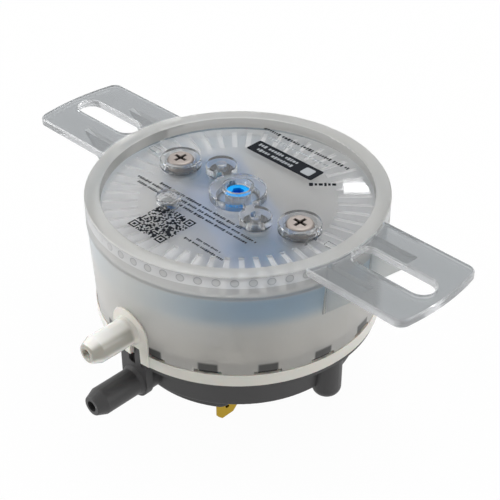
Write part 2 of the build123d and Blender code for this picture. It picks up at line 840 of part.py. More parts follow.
# Diaphragm: moulded sheet with a clamped bead and one convolution
with BuildPart() as diaphragm:
    with BuildSketch(Plane.XZ):
        with BuildLine():
            roll_middle = roll_outer_radius - roll_width / 2
            roll_inner_half = roll_width / 2 - sheet_thickness
            Polyline(
                (roll_middle - roll_width / 2, parting_z),
                (stem_radius + stem_gap, parting_z),
                (stem_radius + stem_gap, sheet_under_z),
                (roll_middle - roll_inner_half, sheet_under_z),
                (roll_middle - roll_inner_half, parting_z),
            )
            ThreePointArc(
                (roll_middle - roll_inner_half, parting_z),
                (roll_middle, parting_z + roll_inner_half),
                (roll_middle + roll_inner_half, parting_z),
            )
            Polyline(
                (roll_middle + roll_inner_half, parting_z),
                (roll_middle + roll_inner_half, sheet_under_z),
                (bead_outer_radius, sheet_under_z),
                (bead_outer_radius, parting_z + bead_height),
                (bead_inner_radius, parting_z + bead_height),
                (bead_inner_radius, parting_z),
                (roll_outer_radius, parting_z),
            )
            ThreePointArc(
                (roll_outer_radius, parting_z),
                (roll_middle, parting_z + roll_width / 2),
                (roll_middle - roll_width / 2, parting_z),
            )
        make_face()
    revolve(axis=Axis.Z)
finish(diaphragm.part, "diaphragm")

# Stiff plate on top of the diaphragm, with a lip, ribs and the spring's seat
with BuildPart() as diaphragm_plate:
    seat_inner_radius = spring_mean_radius + spring_wire / 2 + seat_gap
    with BuildSketch(Plane.XY.offset(parting_z)):
        Circle(plate_radius)
    extrude(amount=backing_thickness)
    with BuildSketch(Plane.XY.offset(backing_top_z)):
        Circle(plate_radius)
        Circle(plate_radius - plate_lip_width, mode=Mode.SUBTRACT)
    extrude(amount=plate_lip)
    with BuildSketch(Plane.XY.offset(backing_top_z)):
        with PolarLocations(0, plate_rib_count // 2):
            Rectangle(2 * plate_radius - plate_lip_width, plate_rib_width)
        Circle(seat_inner_radius + seat_wall / 2, mode=Mode.SUBTRACT)
    extrude(amount=plate_lip)
    with BuildSketch(Plane.XY.offset(backing_top_z)):
        Circle(seat_inner_radius + seat_wall)
        Circle(seat_inner_radius, mode=Mode.SUBTRACT)
    extrude(amount=seat_height)
    with BuildSketch(Plane.XY.offset(parting_z)):
        Circle(stem_radius + stem_gap)
    extrude(amount=backing_thickness, mode=Mode.SUBTRACT)
finish(diaphragm_plate.part, "diaphragm_plate")

# Pusher under the diaphragm: its stem passes up through the stack and its pin works the switch
with BuildPart() as pusher:
    stem_top_z = backing_top_z + retainer_thickness + stem_stand
    with BuildSketch(Plane.XZ):
        with BuildLine():
            Polyline(
                (0, stem_top_z),
                (stem_radius, stem_top_z),
                (stem_radius, sheet_under_z),
                (pusher_radius, sheet_under_z),
                (pusher_radius, pusher_foot_z),
                (pusher_pin_radius, pusher_foot_z),
                (pusher_pin_radius, pin_foot_z),
                (0, pin_foot_z),
                close=True,
            )
        make_face()
    revolve(axis=Axis.Z)
    chamfer(pusher.edges().group_by(Axis.Z)[-1], length=stem_stand / 2)
finish(pusher.part, "pusher")

# Push-on washer that keeps the stack together
with BuildPart() as plate_retainer:
    with BuildSketch(Plane.XY.offset(backing_top_z)):
        Circle(retainer_radius)
        Circle(stem_radius + stem_gap, mode=Mode.SUBTRACT)
    extrude(amount=retainer_thickness)
finish(plate_retainer.part, "plate_retainer")

# Snap switch body: open box with two lugs, slotted for the three straps
with BuildPart() as switch_body:
    with BuildSketch(Plane.XY.offset(floor_z)) as body_outline:
        Rectangle(switch_length, switch_width)
        fillet(body_outline.vertices(), radius=switch_corner)
    extrude(amount=switch_height)
    with BuildSketch(Plane.XY.offset(floor_z)):
        with Locations(*lug_places):
            Circle(lug_radius)
        lug_root = lug_x - switch_length / 2 + switch_wall
        with Locations((lug_root / 2 - lug_x, lug_y), (lug_x - lug_root / 2, lug_y)):
            Rectangle(lug_root, 2 * lug_radius)
    extrude(amount=lug_thickness)
    with BuildSketch(Plane.XY.offset(cavity_floor_z)):
        Rectangle(switch_length - 2 * switch_wall, switch_width - 2 * switch_wall)
    extrude(amount=switch_height - switch_floor, mode=Mode.SUBTRACT)
    with BuildSketch(Plane.XY.offset(floor_z)):
        with Locations(*lug_places):
            Circle(small_screw_radius + small_hole_gap)
    extrude(amount=lug_thickness, mode=Mode.SUBTRACT)
    slot_half = strap_width / 2 + strap_gap
    with BuildSketch(Plane.XY.offset(floor_z)):
        common_end_x = pivot_x + tab_thickness / 2 + strap_gap
        with Locations(((common_end_x - switch_length / 2) / 2, 0)):
            Rectangle(common_end_x + switch_length / 2, 2 * slot_half)
        with Locations((contact_x, (switch_width / 2 - slot_half) / 2)):
            Rectangle(2 * slot_half, switch_width / 2 + slot_half)
    extrude(amount=switch_floor, mode=Mode.SUBTRACT)
    with BuildSketch(Plane.XY.offset(upper_strap_foot - strap_gap)):
        with Locations((switch_length / 2, 0)):
            Rectangle(3 * switch_wall, 2 * slot_half)
    extrude(amount=switch_top_z - upper_strap_foot + strap_gap, mode=Mode.SUBTRACT)
finish(switch_body.part, "switch_body")

# Cover of the snap switch, which also guides the plunger
with BuildPart() as switch_cover:
    with BuildSketch(Plane.XY.offset(switch_top_z)) as cover_outline:
        Rectangle(switch_length, switch_width)
        fillet(cover_outline.vertices(), radius=switch_corner)
        Circle(plunger_radius + plunger_gap, mode=Mode.SUBTRACT)
    extrude(amount=cover_thickness)
    top_edges = switch_cover.edges().group_by(Axis.Z)[-1]
    chamfer(top_edges, length=cover_edge)
finish(switch_cover.part, "switch_cover")

# Plunger with a collar under the cover
with BuildPart() as switch_plunger:
    plunger_top_z = pin_foot_z - plunger_touch
    collar_top_z = switch_top_z - plunger_collar_drop
    with BuildSketch(Plane.XZ):
        with BuildLine():
            Polyline(
                (0, plunger_top_z),
                (plunger_radius, plunger_top_z),
                (plunger_radius, collar_top_z),
                (plunger_collar_radius, collar_top_z),
                (plunger_collar_radius, collar_top_z - plunger_collar_height),
                (plunger_radius, collar_top_z - plunger_collar_height),
                (plunger_radius, blade_top_z + blade_plunger_gap),
                (0, blade_top_z + blade_plunger_gap),
                close=True,
            )
        make_face()
    revolve(axis=Axis.Z)
finish(switch_plunger.part, "switch_plunger")

# Snap blade with a tongue between two slots, and the moving contact riveted through its end
with BuildPart() as snap_blade:
    blade_middle = (pivot_x + contact_x) / 2
    with BuildSketch(Plane.XY.offset(blade_foot_z)):
        with Locations((blade_middle, 0)):
            Rectangle(contact_x - pivot_x + 2 * blade_overhang, blade_width)
        with Locations((0, -blade_window_offset), (0, blade_window_offset)):
            Rectangle(blade_window_length, blade_window_width, mode=Mode.SUBTRACT)
        with Locations((contact_x, 0)):
            Circle(contact_shank_radius + contact_shank_gap, mode=Mode.SUBTRACT)
    extrude(amount=blade_thickness)
finish(snap_blade.part, "snap_blade")

with BuildPart() as moving_contact:
    for foot_z in (moving_foot_z, blade_top_z):
        with BuildSketch(Plane.XY.offset(foot_z)):
            with Locations((contact_x, 0)):
                Circle(contact_radius)
        extrude(amount=contact_height)
    with BuildSketch(Plane.XY.offset(moving_foot_z)):
        with Locations((contact_x, 0)):
            Circle(contact_shank_radius)
    extrude(amount=moving_top_z - moving_foot_z)
finish(moving_contact.part, "moving_contact")

# Fixed contacts on the straps below and above the moving one
contact_spans = {
    "contact_lower": (strap_top_z, contact_lower_top),
    "contact_upper": (contact_upper_foot, upper_strap_foot),
}
for name, (foot_z, top_z) in contact_spans.items():
    with BuildPart() as fixed_contact:
        with BuildSketch(Plane.XY.offset(foot_z)):
            with Locations((contact_x, 0)):
                Circle(contact_radius)
        extrude(amount=top_z - foot_z)
    finish(fixed_contact.part, name)

# Side terminals: a blade through the floor, and a strap along the chamber's floor to the switch
for name, side in (("terminal_common", -1), ("terminal_open", 1)):
    with BuildPart() as side_terminal:
        with BuildSketch(Plane.YZ.offset(side * tab_side_x)) as tab:
            with Locations((tab_side_y, (strap_top_z + plinth_foot_z - tab_reach) / 2)):
                Rectangle(tab_width, strap_top_z - plinth_foot_z + tab_reach)
            chamfer(tab.vertices().group_by(Axis.Y)[0], length=tab_corner)
            with Locations((tab_side_y, plinth_foot_z - tab_reach + tab_hole_inset)):
                Circle(tab_hole_radius, mode=Mode.SUBTRACT)
        extrude(amount=tab_thickness / 2, both=True)
        with BuildSketch(Plane.XY.offset(floor_z)):
            with Locations((side * tab_side_x, (tab_side_y + strap_width / 2) / 2)):
                Rectangle(strap_width, strap_width / 2 - tab_side_y)
            if side < 0:
                with Locations(((pivot_x + tab_thickness / 2 - tab_side_x) / 2, 0)):
                    Rectangle(pivot_x + tab_thickness / 2 + tab_side_x, strap_width)
        extrude(amount=tab_thickness)
        if side < 0:
            with BuildSketch(Plane.XY.offset(floor_z)):
                with Locations((pivot_x, 0)):
                    Rectangle(tab_thickness, strap_width)
            extrude(amount=blade_foot_z - blade_support_gap - floor_z)
        else:
            riser_x = tab_side_x - strap_width / 2 + tab_thickness / 2
            with BuildSketch(Plane.XY.offset(floor_z)):
                with Locations((riser_x, 0)):
                    Rectangle(tab_thickness, strap_width)
            extrude(amount=upper_strap_foot + tab_thickness - floor_z)
            upper_near_x = contact_x - contact_radius
            upper_far_x = riser_x + tab_thickness / 2
            with BuildSketch(Plane.XY.offset(upper_strap_foot)):
                with Locations(((upper_near_x + upper_far_x) / 2, 0)):
                    Rectangle(upper_far_x - upper_near_x, strap_width)
            extrude(amount=tab_thickness)
    finish(side_terminal.part, name)

# Back terminal: its strap turns along the chamber's floor and ends under the lower contact
with BuildPart() as terminal_closed:
    with BuildSketch(Plane.XZ.offset(-tab_back_y)) as tab:
        with Locations((0, (strap_top_z + plinth_foot_z - tab_reach) / 2)):
            Rectangle(tab_width, strap_top_z - plinth_foot_z + tab_reach)
        chamfer(tab.vertices().group_by(Axis.Y)[0], length=tab_corner)
        with Locations((0, plinth_foot_z - tab_reach + tab_hole_inset)):
            Circle(tab_hole_radius, mode=Mode.SUBTRACT)
    extrude(amount=tab_thickness / 2, both=True)
    with BuildSketch(Plane.XY.offset(floor_z)):
        with Locations((0, (tab_back_y + strap_row_y) / 2)):
            Rectangle(strap_width, tab_back_y - strap_row_y)
        with Locations((contact_x / 2, strap_row_y)):
            Rectangle(contact_x + strap_width, strap_width)
        with Locations((contact_x, (strap_row_y - strap_width / 2) / 2)):
            Rectangle(strap_width, strap_row_y + strap_width / 2)
    extrude(amount=tab_thickness)
finish(terminal_closed.part, "terminal_closed")

# Slotted screws that hold the snap switch to the chamber's floor
for name, place in zip(("switch_screw_left", "switch_screw_right"), lug_places):
    with BuildPart() as switch_screw:
        with BuildSketch(Plane.XY.offset(lug_top_z)):
            with Locations(place):
                Circle(small_head_radius)
        extrude(amount=small_head_height)
        with BuildSketch(Plane.XY.offset(lug_top_z)):
            with Locations(place):
                Circle(small_screw_radius)
        extrude(amount=-small_screw_length)
        with BuildSketch(Plane.XY.offset(lug_top_z + small_head_height)):
            with Locations(place):
                Rectangle(2 * small_head_radius, small_slot_width)
        extrude(amount=-small_slot_depth, mode=Mode.SUBTRACT)
    finish(switch_screw.part, name)
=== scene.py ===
"""Studio scene for a round differential pressure switch, dressed on its CAD frame.

Metres, +Z up, in the frame of the CAD model: the origin is the centre of the rim's top, and +X runs along
the ears.
"""
import math

import bpy
import numpy as np
from mathutils import Matrix, Vector


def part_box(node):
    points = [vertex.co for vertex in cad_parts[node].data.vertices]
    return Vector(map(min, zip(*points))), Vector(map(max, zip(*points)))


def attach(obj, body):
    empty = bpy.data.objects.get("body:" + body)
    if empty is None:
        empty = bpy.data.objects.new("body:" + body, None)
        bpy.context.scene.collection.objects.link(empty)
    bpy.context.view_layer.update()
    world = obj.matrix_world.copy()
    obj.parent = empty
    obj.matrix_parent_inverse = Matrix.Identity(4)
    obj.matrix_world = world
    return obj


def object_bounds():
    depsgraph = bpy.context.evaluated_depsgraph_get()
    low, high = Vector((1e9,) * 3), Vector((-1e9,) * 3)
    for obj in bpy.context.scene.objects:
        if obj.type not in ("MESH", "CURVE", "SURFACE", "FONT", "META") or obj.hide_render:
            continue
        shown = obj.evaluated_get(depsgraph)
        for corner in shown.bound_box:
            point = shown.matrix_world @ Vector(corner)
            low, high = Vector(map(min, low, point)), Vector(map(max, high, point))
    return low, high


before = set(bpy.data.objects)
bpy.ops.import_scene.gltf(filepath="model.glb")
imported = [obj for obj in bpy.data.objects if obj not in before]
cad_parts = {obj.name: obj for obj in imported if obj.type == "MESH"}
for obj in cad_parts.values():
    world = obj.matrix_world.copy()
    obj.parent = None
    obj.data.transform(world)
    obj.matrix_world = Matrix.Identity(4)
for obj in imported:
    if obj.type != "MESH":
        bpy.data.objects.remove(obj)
cad_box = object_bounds()

MM = 0.001

# Places on the upper housing, in the part's millimetres
rim_radius = 1000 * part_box("upper_housing")[1].y
rim_inner_radius = rim_radius - 3.7
recess_z = -2.8
plate_under_z = -4.8
strip_foot_z = -2.98
collar_foot_z = -6.35
ring_top_z = -28.3
wall_top_radius = 35.88
wall_foot_radius = 34.95
arch_radius = 5.8
upper_port_z = -23.0
ear_thickness = 2.1
hook_count = 16
hook_width = 4.6
hook_z = -26.6
hook_height = 1.3
well_x = 19.9
side_boss_x = 10.69
side_boss_y = -4.99
stub_x = -9.32
stub_y = -13.61
bar_near_x = 18.0
bar_near_y = -11.0
bar_far_x = -13.0
bar_far_y = 3.0
oval_count = 57
oval_start = 1.4
oval_z = -1.55
oval_width = 0.95
oval_height = 0.95

# Posts that are seen through the top, and the ring of ribs under it
well_post_radius = 4.25
boss_post_radius = 3.35
stub_post_radius = 2.45
post_edge = 0.15
rib_zone_inner = 23.5
rib_zone_outer = 32.1

# Camera at the photograph's angle: degrees, the part's millimetres, and pixels of the photograph
camera_azimuth = 44.646
camera_elevation = 35.69
camera_roll = 0.088
camera_distance = 262.0
camera_aim = (20.253, -16.446, 0.0)
focal_length_pixels = 1205.8
photo_width_pixels = 500
sensor_width = 36

# Corners of the softbox's two mirror images on the recessed face, as (x, y), and its distance from there
panel_image = ((14.16, 21.71), (19.33, 26.88), (21.9, 23.79), (16.77, 18.7))
line_image = ((13.3, 22.68), (17.1, 26.43), (17.36, 26.14), (13.57, 22.39))
softbox_distance = 700.0
softbox_strength = 12.0

# Ink on the recessed face
ink_thickness = 0.02
ink_lift = 0.005
ink_dark = (0.016, 0.018, 0.022)
ink_pale = (0.38, 0.4, 0.42)


class Graph:
    """A shader node tree with short calls that add a node, give it values and join it to others."""

    def __init__(self, tree):
        self.tree = tree

    def add(self, kind, inputs=None, **settings):
        node = self.tree.nodes.new("ShaderNode" + kind)
        for name, value in settings.items():
            setattr(node, name, value)
        for name, value in (inputs or {}).items():
            if isinstance(value, bpy.types.NodeSocket):
                self.tree.links.new(value, node.inputs[name])
            else:
                node.inputs[name].default_value = value
        return node

    def math(self, operation, first, second=0.0, third=0.0, clamp=False):
        values = {0: first, 1: second, 2: third}
        return self.add("Math", values, operation=operation, use_clamp=clamp).outputs[0]

    def both(self, *masks):
        """Mask that is 1 only where every given mask is."""
        product = masks[0]
        for mask in masks[1:]:
            product = self.math("MULTIPLY", product, mask)
        return product

    def step(self, value, start, end):
        """Mask that rises smoothly from 0 at start to 1 at end."""
        values = {"Value": value, "From Min": start, "From Max": end}
        return self.add("MapRange", values, interpolation_type="SMOOTHSTEP").outputs[0]

    def mix(self, share, first, second):
        """Colour that goes from the first to the second as share goes from 0 to 1."""
        node = self.add("Mix", data_type="RGBA")
        for socket, value in zip((node.inputs[0], node.inputs[6], node.inputs[7]), (share, first, second)):
            if isinstance(value, bpy.types.NodeSocket):
                self.tree.links.new(value, socket)
            else:
                socket.default_value = value if socket.type == "VALUE" else (*value, 1)
        return node.outputs[2]

    def blend(self, share, first, second):
        """Number that goes from the first to the second as share goes from 0 to 1."""
        return self.math("ADD", first, self.math("MULTIPLY", share, self.math("SUBTRACT", second, first)))

    def group(self, tree, **inputs):
        node = self.tree.nodes.new("ShaderNodeGroup")
        node.node_tree = tree
        for name, value in inputs.items():
            name = name.replace("_", " ").title()
            if isinstance(value, bpy.types.NodeSocket):
                self.tree.links.new(value, node.inputs[name])
            else:
                node.inputs[name].default_value = value
        return node.outputs


def new_group(name, inputs, outputs):
    """Node group with float inputs and their defaults, and named outputs of a given kind."""
    tree = bpy.data.node_groups.new(name, "ShaderNodeTree")
    for title, value in inputs.items():
        socket = tree.interface.new_socket(title, in_out="INPUT", socket_type="NodeSocketFloat")
        socket.default_value = value
    for title, kind in outputs.items():
        tree.interface.new_socket(title, in_out="OUTPUT", socket_type="NodeSocket" + kind)
    graph = Graph(tree)
    return tree, graph, tree.nodes.new("NodeGroupInput").outputs, tree.nodes.new("NodeGroupOutput").inputs


def place_group():
    """Where a point is: its level and its distance from the axis in millimetres, and its angle in degrees."""
    tree, g, _, out = new_group("place_on_part", {}, {"Level": "Float", "Radius": "Float", "Angle": "Float",
                                                      "Along": "Float", "Across": "Float"})
    axes = g.add("SeparateXYZ", {0: g.add("TexCoord").outputs["Object"]}).outputs
    x, y, z = (g.math("DIVIDE", axes[i], MM) for i in range(3))
    square = g.math("ADD", g.math("MULTIPLY", x, x), g.math("MULTIPLY", y, y))
    angle = g.math("DEGREES", g.math("ARCTAN2", y, x))
    for title, value in {"Level": z, "Radius": g.math("SQRT", square), "Angle": angle,
                         "Along": x, "Across": y}.items():
        tree.links.new(value, out[title])
    return tree


def grain_group():
    """Moulded or drawn grain: a fine and a broad noise give a tone near 1, a roughness shift and a height."""
    tree, g, given, out = new_group(
        "grain",
        {"Fine": 2500.0, "Broad": 90.0, "Stretch": 1.0, "Tone Spread": 0.05, "Rough Spread": 0.06},
        {"Tone": "Float", "Rough Shift": "Float", "Height": "Float"},
    )
    place = g.add("TexCoord").outputs["Object"]
    stretch = g.add("CombineXYZ", {0: 1.0, 1: 1.0, 2: given["Stretch"]}).outputs[0]
    place = g.add("VectorMath", {0: place, 1: stretch}, operation="MULTIPLY").outputs[0]
    fine = g.add("TexNoise", {"Vector": place, "Scale": given["Fine"], "Detail": 3.0}).outputs[0]
    broad = g.add("TexNoise", {"Vector": place, "Scale": given["Broad"], "Detail": 2.0}).outputs[0]
    both = g.math("SUBTRACT", g.math("ADD", fine, broad), 1.0)
    tree.links.new(g.math("MULTIPLY_ADD", both, given["Tone Spread"], 1.0), out["Tone"])
    tree.links.new(g.math("MULTIPLY", both, given["Rough Spread"]), out["Rough Shift"])
    tree.links.new(fine, out["Height"])
    return tree


def oval_group():
    """Row of upright ovals round the rim: the angle is cut into equal cells, and in each one the distance from
    the cell's middle, with width and height scaled to 1, gives the oval's inside and its outline."""
    tree, g, given, out = new_group(
        "rim_ovals",
        {"Angle": 0.0, "Level": 0.0},
        {"Inside": "Float", "Outline": "Float"},
    )
    turn = g.math("DIVIDE", g.math("SUBTRACT", given["Angle"], oval_start), 360 / oval_count)
    cell = g.math("SUBTRACT", g.math("FRACT", turn), 0.5)
    across = g.math("MULTIPLY", cell, 2 * math.pi * rim_radius / oval_count / oval_width)
    up = g.math("DIVIDE", g.math("SUBTRACT", given["Level"], oval_z), oval_height)
    away = g.math("SQRT", g.math("ADD", g.math("MULTIPLY", across, across), g.math("MULTIPLY", up, up)))
    inside = g.step(away, 0.95, 0.65)
    tree.links.new(inside, out["Inside"])
    outline = g.both(g.step(away, 1.15, 0.9), g.math("SUBTRACT", 1.0, inside))
    tree.links.new(outline, out["Outline"])
    return tree


PLACE = place_group()
GRAIN = grain_group()
OVALS = oval_group()


def new_material(name):
    """Material with a Principled shader on its output: the material, its graph and the shader's inputs."""
    material = bpy.data.materials.new(name)
    material.use_nodes = True
    material.node_tree.nodes.clear()
    g = Graph(material.node_tree)
    shader = g.add("BsdfPrincipled")
    g.add("OutputMaterial", {"Surface": shader.outputs[0]})
    return material, g, shader.inputs


def join(g, sockets, **values):
    """Set a shader's sockets to plain values, or join them to other sockets."""
    for name, value in values.items():
        name = name.replace("_", " ").title().replace("Ior", "IOR")
        if isinstance(value, bpy.types.NodeSocket):
            g.tree.links.new(value, sockets[name])
        else:
            sockets[name].default_value = (*value, 1) if isinstance(value, tuple) else value


def toned(g, colour, tone):
    """Colour multiplied by a tone."""
    vector = g.add("VectorMath", {0: colour, "Scale": tone}, operation="SCALE")
    return vector.outputs[0]


def bump(g, height, distance, strength=1.0):
    return g.add("Bump", {"Height": height, "Distance": distance, "Strength": strength}).outputs[0]


def plain_finish(name, colour, rough, metallic=0.0, stretch=1.0, tone=0.08, shine=0.5, relief=0.00001):
    """Moulded, drawn or stamped finish: grain moves the colour's tone and the roughness, and gives a fine
    relief."""
    material, g, sockets = new_material(name)
    grain = g.group(GRAIN, stretch=stretch, tone_spread=tone)
    join(g, sockets, base_color=toned(g, colour, grain["Tone"]),
         roughness=g.math("ADD", rough, grain["Rough Shift"], clamp=True), metallic=metallic,
         specular_ior_level=shine, normal=bump(g, grain["Height"], relief))
    return material


def away_from(g, x, y, middle_x, middle_y):
    """Distance in plan from a point."""
    along = g.math("SUBTRACT", x, middle_x)
    across = g.math("SUBTRACT", y, middle_y)
    return g.math("SQRT", g.math("ADD", g.math("MULTIPLY", along, along), g.math("MULTIPLY", across, across)))


def clear_plastic(name, through):
    """Clear plastic of the top and the ears: polished above, frosted below and on the rim. Painted shade
    greys the ears, the posts under the top and the rim's inner wall; painted light makes the ears'
    undersides, the ribs and the underside towards -X -Y paler, and painted highlights line the ears' upright
    edges. Each zone of faces has its own copy, with the share of light that goes through it."""
    white = (1.0, 1.0, 1.0)
    clear = (0.95, 0.955, 0.96)
    haze = (0.66, 0.665, 0.67)
    carrier_blue = (0.1, 0.3, 0.46)
    post_shade_grey = (0.14, 0.16, 0.18)
    ear_shade_grey = (0.35, 0.37, 0.385)
    ear_under_lit_grey = (0.8, 0.81, 0.8)
    ear_edge_highlight = (0.92, 0.93, 0.94)
    rim_cream = (0.79, 0.785, 0.755)
    rim_inner_shade_grey = (0.36, 0.36, 0.35)
    strip_white = (0.97, 0.97, 0.97)
    band_grey = (0.66, 0.655, 0.635)
    oval_grey = (0.74, 0.74, 0.73)
    oval_line_grey = (0.42, 0.42, 0.42)

    material, g, sockets = new_material(name)
    place = g.group(PLACE)
    level, radius, along, across = (place[title] for title in ("Level", "Radius", "Along", "Across"))
    grain = g.group(GRAIN, tone_spread=0.02, rough_spread=0.01)
    ovals = g.group(OVALS, angle=place["Angle"], level=level)
    outside = g.math("SUBTRACT", 1.0, g.add("NewGeometry").outputs["Backfacing"])
    upright = g.math("ABSOLUTE", g.add("SeparateXYZ", {0: g.add("NewGeometry").outputs["Normal"]}).outputs[2])

    side = g.both(g.step(radius, rim_radius - 0.2, rim_radius - 0.1),
                  g.step(radius, rim_radius + 0.4, rim_radius + 0.2), g.step(level, -0.25, -0.4))
    strip = g.both(side, g.step(level, strip_foot_z - 0.05, strip_foot_z + 0.05))
    band = g.math("SUBTRACT", side, strip)
    rim = g.both(g.step(level, recess_z + 0.01, recess_z + 0.1),
                 g.step(radius, rim_inner_radius - 0.15, rim_inner_radius - 0.05),
                 g.step(radius, rim_radius + 0.1, rim_radius), g.math("SUBTRACT", 1.0, side))
    # Painted shade: the rim's upright inner wall is coloured dark grey.
    shaded_inner_wall = g.both(g.step(upright, 0.6, 0.4), g.step(radius, rim_inner_radius + 0.4, rim_inner_radius + 0.3))
    under = g.both(g.step(level, recess_z - 0.3, recess_z - 0.5),
                   g.step(radius, rim_radius - 0.3, rim_radius - 0.5))
    # Painted light on the ears: grey as painted shade, a paler painted underside, and painted highlights on
    # their upright edges.
    ear = g.step(radius, rim_radius + 0.2, rim_radius + 0.6)
    ear_under = g.both(ear, g.step(level, -2.0, -2.3))
    ear_edge = g.both(ear, g.step(upright, 0.95, 0.85),
                      g.step(level, -ear_thickness - 0.15, -ear_thickness + 0.05))

    facing = g.math("SIGN", along)
    near_well = away_from(g, g.math("ABSOLUTE", along), across, well_x, 0.0)
    near_boss = away_from(g, g.math("ABSOLUTE", along), g.math("MULTIPLY", across, facing),
                          side_boss_x, side_boss_y)
    near_stub = away_from(g, along, across, stub_x, stub_y)
    well = g.step(near_well, well_post_radius + post_edge, well_post_radius - post_edge)
    boss = g.step(near_boss, boss_post_radius + post_edge, boss_post_radius - post_edge)
    stub = g.both(g.step(near_stub, stub_post_radius + post_edge, stub_post_radius - post_edge),
                  g.step(level, recess_z - 0.3, recess_z - 0.6))
    # Painted shade: the posts under the plate, at the wells, side bosses and stub, are coloured dark grey as
    # shade seen through the top.
    shaded_post = g.both(g.step(level, plate_under_z + 0.1, plate_under_z - 0.2), g.math("MAXIMUM", well, boss))
    shaded_post = g.math("MAXIMUM", shaded_post, stub)
    # Painted highlight: the ribs' undersides are coloured white, with a rough finish, for the bright strips
    # they show through the top.
    rib_highlight = g.both(g.step(level, plate_under_z - 0.1, plate_under_z - 0.3),
                 g.step(radius, rib_zone_inner - 0.1, rib_zone_inner + 0.3),
                 g.step(radius, rib_zone_outer + 0.2, rib_zone_outer - 0.3))
    near_bar = g.step(away_from(g, along, across, bar_near_x, bar_near_y), 10.0, 3.5)
    far_bar = g.step(away_from(g, along, across, bar_far_x, bar_far_y), 9.5, 4.0)
    # Painted light: the underside turns from haze to white towards -X -Y, the side that faces the left fill
    # light.
    lit_side = g.step(g.math("ADD", along, across), 12.0, -20.0)

    below = g.mix(lit_side, haze, white)
    below = g.mix(g.math("MAXIMUM", near_bar, far_bar), below, carrier_blue)
    colour = g.mix(under, clear, below)
    colour = g.mix(rib_highlight, colour, white)
    colour = g.mix(shaded_post, colour, post_shade_grey)
    colour = g.mix(ear, colour, ear_shade_grey)
    colour = g.mix(ear_under, colour, ear_under_lit_grey)
    colour = g.mix(ear_edge, colour, ear_edge_highlight)
    colour = g.mix(rim, colour, g.mix(shaded_inner_wall, rim_cream, rim_inner_shade_grey))
    colour = g.mix(strip, colour, strip_white)
    colour = g.mix(band, colour, band_grey)
    facing_away = g.step(g.add("LayerWeight", {"Blend": 0.5}).outputs["Facing"], 0.75, 0.5)
    shown = g.both(strip, outside, facing_away)
    colour = g.mix(g.both(shown, ovals["Inside"]), colour, oval_grey)
    colour = g.mix(g.both(shown, ovals["Outline"]), colour, oval_line_grey)

    rough = g.blend(under, 0.012, 0.34)
    rough = g.blend(rib_highlight, rough, 0.5)
    rough = g.blend(ear, rough, 0.07)
    rough = g.blend(ear_edge, rough, 0.22)
    rough = g.blend(g.math("MAXIMUM", g.math("MAXIMUM", rim, side), ear_under), rough, 0.4)
    rough = g.math("ADD", rough, grain["Rough Shift"], clamp=True)
    join(g, sockets, base_color=toned(g, colour, grain["Tone"]), roughness=rough, transmission_weight=through,
         ior=1.5, normal=bump(g, grain["Height"], 0.000001))
    return material


def frosted_wall():
    """Frosted natural plastic of the drafted wall and the foot: light goes through and scatters, and a
    painted sheen makes the wall paler where it is seen at a slant. Soft patches stand for the carrier and the
    hooks behind it."""
    upper_grey = (0.75, 0.765, 0.745)
    lower_cream = (0.75, 0.725, 0.67)
    carrier_blue = (0.36, 0.53, 0.66)
    sheen_white = (1.0, 1.0, 0.99)
    hook_shadow = (0.1, 0.1, 0.095)

    material, g, sockets = new_material("frosted_wall")
    place = g.group(PLACE)
    level = place["Level"]
    grain = g.group(GRAIN, tone_spread=0.03, rough_spread=0.05)
    colour = g.mix(g.step(level, -9.0, -22.0), upper_grey, lower_cream)
    turn = g.math("ABSOLUTE", g.math("COSINE", g.math("RADIANS", place["Angle"])))
    carrier = g.both(g.step(turn, -0.1, 0.9), g.step(level, -15.5, -11.0), g.step(level, -5.0, -7.5))
    colour = g.mix(carrier, colour, carrier_blue)
    # Painted sheen: the base colour turns whiter where the wall is seen at a grazing angle.
    painted_sheen = g.math("POWER", g.add("LayerWeight", {"Blend": 0.4}).outputs["Facing"], 1.2)
    colour = g.mix(painted_sheen, colour, sheen_white)
    cell = g.math("SUBTRACT", g.math("FRACT", g.math("DIVIDE", place["Angle"], 360 / hook_count)), 0.5)
    across = g.math("MULTIPLY", g.math("ABSOLUTE", cell), 2 * math.pi * wall_foot_radius / hook_count)
    up = g.math("ABSOLUTE", g.math("SUBTRACT", level, hook_z))
    hook = g.both(g.step(across, hook_width / 2 + 0.3, hook_width / 2 - 0.3),
                  g.step(up, hook_height + 0.4, hook_height - 0.4))
    colour = g.mix(hook, colour, hook_shadow)
    join(g, sockets, base_color=toned(g, colour, grain["Tone"]),
         roughness=g.math("ADD", 0.36, grain["Rough Shift"], clamp=True),
         transmission_weight=0.56, ior=1.45, normal=bump(g, grain["Height"], 0.000008))
    return material


def natural_cream():
    """Solid natural plastic of the ring above the parting line and of the upper port, with the port's sides
    shaded between its top and its underside."""
    tube_light = (0.97, 0.96, 0.91)
    tube_shade = (0.44, 0.425, 0.37)
    ring_cream = (0.8, 0.78, 0.71)

    material, g, sockets = new_material("natural_cream")
    place = g.group(PLACE)
    grain = g.group(GRAIN, tone_spread=0.02)
    upright = g.add("SeparateXYZ", {0: g.add("NewGeometry").outputs["Normal"]}).outputs[2]
    shade = g.both(g.step(upright, -0.4, 0.05), g.step(upright, 0.9, 0.6))
    tube = g.mix(shade, tube_light, tube_shade)
    colour = g.mix(g.step(place["Across"], -36.2, -37.4), ring_cream, tube)
    join(g, sockets, base_color=toned(g, colour, grain["Tone"]),
         roughness=g.math("ADD", 0.22, grain["Rough Shift"], clamp=True), subsurface_weight=0.2,
         subsurface_scale=0.001, normal=bump(g, grain["Height"], 0.000004))
    return material


def charcoal_plastic():
    """Satin charcoal plastic with a fine spark-eroded texture."""
    charcoal = (0.05, 0.049, 0.05)
    material, g, sockets = new_material("charcoal_plastic")
    grain = g.group(GRAIN, fine=3200.0, tone_spread=0.14, rough_spread=0.1)
    join(g, sockets, base_color=toned(g, charcoal, grain["Tone"]),
         roughness=g.math("ADD", 0.48, grain["Rough Shift"], clamp=True), specular_ior_level=0.45,
         normal=bump(g, grain["Height"], 0.00002))
    return material


